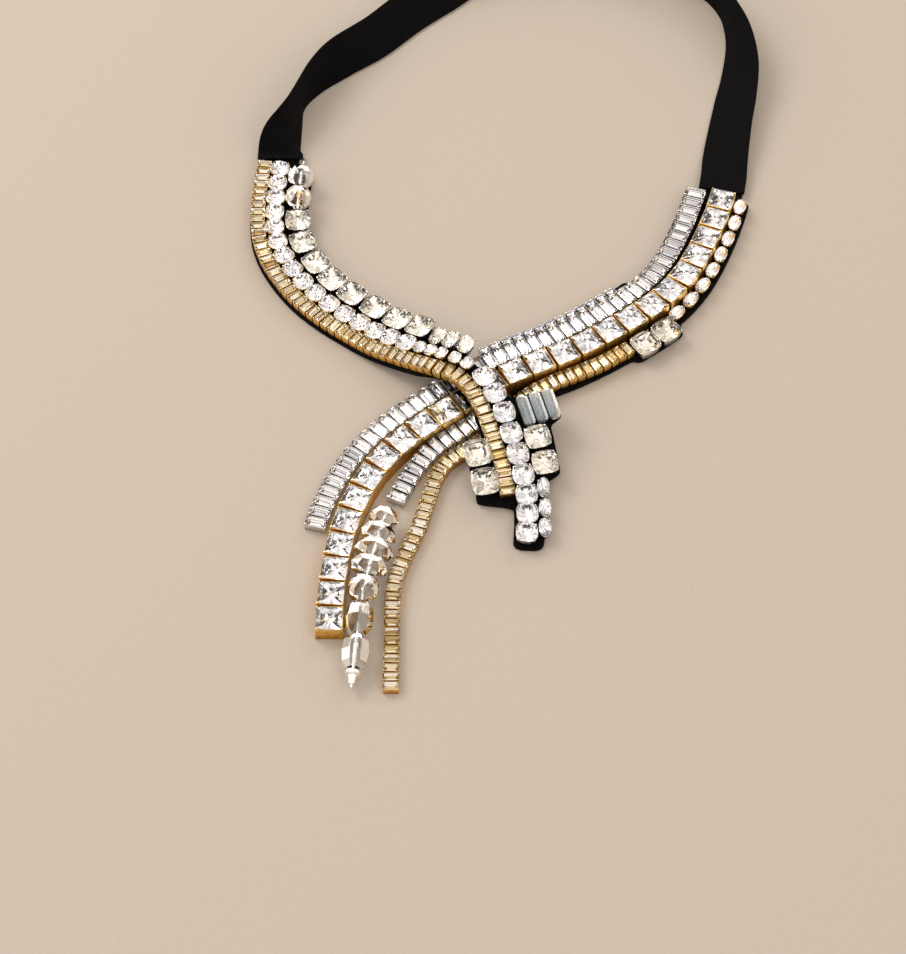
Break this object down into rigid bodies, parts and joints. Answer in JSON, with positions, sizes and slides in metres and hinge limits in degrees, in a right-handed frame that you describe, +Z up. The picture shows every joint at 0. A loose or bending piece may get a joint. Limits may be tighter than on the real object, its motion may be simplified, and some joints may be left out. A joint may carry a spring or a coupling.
{
  "type": "bib necklace",
  "caption": "Asymmetric bib necklace with rows of gold-set and silver-set stones on black felt, loose crystal strands and a black tape for the neck.",
  "frame": {"origin": "centre of the bounding box at the level of the surface that the necklace lies on", "axes": "+Y from the loose strands towards the back of the neck, +X towards the wearer's left arm of the bib as laid out, +Z up out of the surface"},
  "size_m": [0.176, 0.3098, 0.0187],
  "materials": {
    "felt": "matte black felt",
    "tape": "woven black tape",
    "gold_set_stones": "pale step-cut stones in antique gold boxes",
    "silver_set_stones": "foiled white stones in antique settings",
    "clear_set_stones": "clear foiled stones",
    "cushion_stones": "pale cream foiled stones",
    "grey_crystal": "polished grey crystal",
    "clear_crystal": "polished clear crystal",
    "silver_metal": "plain silver-coloured metal",
    "gold_metal": "antique gold"
  },
  "bodies": {
    "root": {"felt_left": "felt", "felt_right": "felt", "tape_left": "tape", "tape_right": "tape", "left_gold_row": "gold_set_stones", "gold_strand": "gold_set_stones", "left_round_row": "silver_set_stones", "column_round_row": "silver_set_stones", "square_strand": "silver_set_stones", "silver_baguette_strand": "silver_set_stones", "inner_edge_row": "silver_set_stones", "short_baguette_strand": "silver_set_stones", "right_oval_row": "clear_set_stones", "column_oval_row": "clear_set_stones", "left_cushion_01": "cushion_stones", "left_cushion_02": "cushion_stones", "left_cushion_03": "cushion_stones", "left_cushion_04": "cushion_stones", "left_cushion_05": "cushion_stones", "left_cushion_06": "cushion_stones", "left_cushion_07": "cushion_stones", "left_cushion_08": "cushion_stones", "left_cushion_09": "cushion_stones", "left_cushion_10": "cushion_stones", "left_cushion_11": "cushion_stones", "column_left_cushion_01": "cushion_stones", "column_left_cushion_02": "cushion_stones", "column_right_cushion_01": "cushion_stones", "column_right_cushion_02": "cushion_stones", "right_cushion_01": "cushion_stones", "right_cushion_02": "cushion_stones", "grey_barrel_01": "grey_crystal", "grey_barrel_02": "grey_crystal", "grey_barrel_03": "grey_crystal", "left_bead_01": "clear_crystal", "left_bead_02": "clear_crystal", "tail_chip_01": "clear_crystal", "tail_chip_02": "clear_crystal", "tail_chip_03": "clear_crystal", "tail_chip_04": "clear_crystal", "tail_round_bead": "clear_crystal", "tail_barrel_01": "clear_crystal", "tail_barrel_02": "clear_crystal", "left_bead_pin": "silver_metal", "tail_wire": "silver_metal", "clasp": "silver_metal", "tail_end_cap": "gold_metal"}
  },
  "joints": []
}
